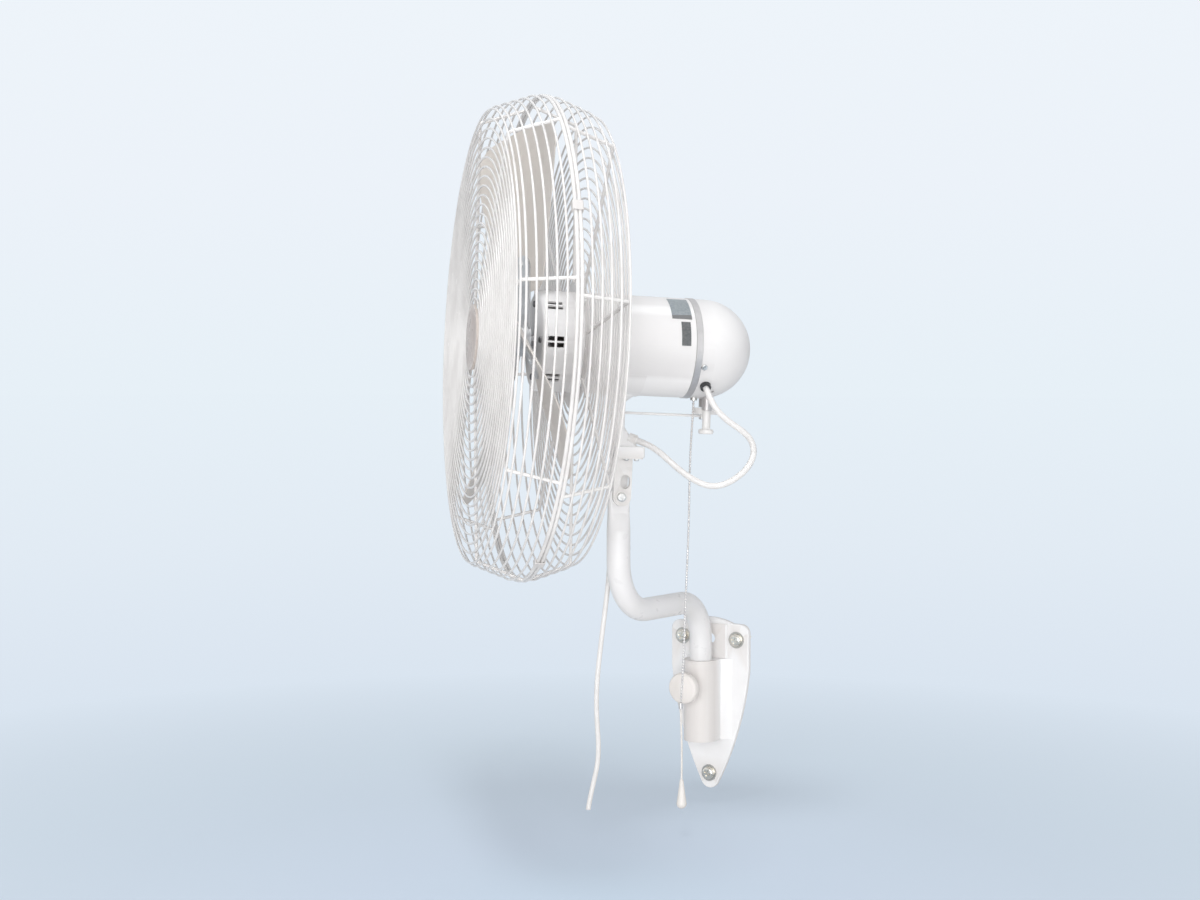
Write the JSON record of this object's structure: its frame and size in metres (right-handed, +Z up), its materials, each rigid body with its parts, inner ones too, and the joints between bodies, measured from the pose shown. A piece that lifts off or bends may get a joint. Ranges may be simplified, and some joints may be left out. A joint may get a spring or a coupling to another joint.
{
  "type": "wall mounted fan",
  "caption": "Caged fan head on a bent pipe arm that swivels and clamps in a wall bracket, with tilt, oscillation, pull chain and cords.",
  "frame": {"origin": "on the wall face of the bracket, in line with the arm's socket, midway in height between the upper wall screws and the lower one", "axes": "+Z up, +Y into the wall, -Y away from the wall, +X to the right when facing the wall"},
  "size_m": [0.5417, 0.6641, 1.0111],
  "materials": {
    "white_enamel": "gloss",
    "white_wire": "gloss",
    "white_knob": "gloss",
    "blade_enamel": "satin",
    "cast_aluminium": "satin",
    "bright_steel": "satin",
    "dark_steel": "satin",
    "black_rubber": "satin",
    "winding_copper": "satin",
    "black_plastic": "matte",
    "thrust_plastic": "matte",
    "white_rubber": "satin",
    "pull_cord": "matte",
    "badge_plate": "satin",
    "label_metal": "satin"
  },
  "bodies": {
    "bracket": {"wall_plate": "white_enamel", "wall_washers": "bright_steel", "wall_screws": "bright_steel"},
    "clamp": {"clamp_knob": "white_knob"},
    "arm": {"arm_pipe": "white_enamel"},
    "yoke": {"clevis": "white_enamel", "clevis_screws": "bright_steel", "tilt_bolt": "bright_steel", "tilt_nut": "bright_steel", "tilt_washers": "bright_steel", "neck_casting": "white_enamel", "thrust_washer": "thrust_plastic", "entry_bush": "white_rubber", "link_anchor_screw": "bright_steel", "cord_gland": "white_rubber", "supply_cord": "white_rubber"},
    "head": {"kingpin": "dark_steel", "motor_housing": "white_enamel", "front_endbell": "white_enamel", "endbell_bolts": "bright_steel", "rear_endshield": "cast_aluminium", "rear_dome": "white_enamel", "dome_screws": "bright_steel", "stator_core": "dark_steel", "stator_windings": "winding_copper", "front_bearing": "dark_steel", "rear_bearing": "dark_steel", "run_capacitor": "black_plastic", "gear_case": "cast_aluminium", "pull_switch": "dark_steel", "cord_grommet": "black_rubber", "label_plates": "label_metal", "front_guard": "white_wire", "rear_guard": "white_wire", "guard_bolts": "bright_steel", "guard_clips": "white_wire", "badge": "badge_plate", "service_cord": "white_rubber"},
    "rotor": {"rotor_shaft": "dark_steel", "rotor_core": "dark_steel", "fan_hub": "cast_aluminium", "hub_screw": "bright_steel", "blade_rivets": "bright_steel", "fan_blade_1": "blade_enamel", "fan_blade_2": "blade_enamel", "fan_blade_3": "blade_enamel"},
    "crank": {"crank": "white_enamel", "crank_gear": "dark_steel"},
    "link": {"link_rod": "white_enamel", "crank_screw": "bright_steel"},
    "knob": {"oscillator_knob": "white_knob"},
    "pull_chain": {"bead_chain": "bright_steel", "chain_bell": "bright_steel", "pull_string": "pull_cord", "chain_pull": "white_knob"}
  },
  "joints": [
    {"name": "arm_swivel", "type": "hinge", "parent": "bracket", "child": "arm", "pos_m": [0, -0.034, 0], "axis": [0, 0, 1], "range_deg": [-15, 40]},
    {"name": "clamp_turn", "type": "hinge", "parent": "bracket", "child": "clamp", "pos_m": [0, -0.07, 0.038], "axis": [0, -1, 0], "range_deg": [0, 270]},
    {"name": "head_tilt", "type": "hinge", "parent": "arm", "child": "yoke", "pos_m": [0, -0.2674, 0.335], "axis": [0.7236, -0.6903, 0], "range_deg": [-20, 20], "deforming": ["supply_cord"]},
    {"name": "head_swing", "type": "hinge", "parent": "yoke", "child": "head", "pos_m": [-0.00345, -0.27101, 0.33523], "axis": [0.0313, 0.0328, 0.999], "range_deg": [-44, 38], "deforming": ["service_cord", "bead_chain", "chain_bell", "pull_string", "chain_pull"]},
    {"name": "crank_turn", "type": "hinge", "parent": "head", "child": "crank", "pos_m": [0.07427, -0.16636, 0.32935], "axis": [0.0313, 0.0328, 0.999], "range_deg": [-76, 88]},
    {"name": "link_turn", "type": "hinge", "parent": "yoke", "child": "link", "pos_m": [-0.01785, -0.26004, 0.33532], "axis": [0.0313, 0.0328, 0.999], "range_deg": [-44, 38]},
    {"name": "fan_spin", "type": "hinge", "parent": "head", "child": "rotor", "pos_m": [0.00661, -0.26047, 0.54578], "axis": [0.6895, 0.7228, -0.0454], "continuous": true},
    {"name": "oscillator_knob_slide", "type": "slide", "parent": "head", "child": "knob", "axis": [0.0313, 0.0328, 0.999], "range_m": [-0.006, 0]},
    {"name": "chain_pull_slide", "type": "slide", "parent": "head", "child": "pull_chain", "axis": [0, 0, 1], "range_m": [-0.012, 0], "stiffness_N_per_m": 300}
  ],
  "couplings": [
    {"joint": "crank_turn", "follows": "head_swing", "ratio": -2},
    {"joint": "link_turn", "follows": "head_swing", "ratio": 1}
  ]
}
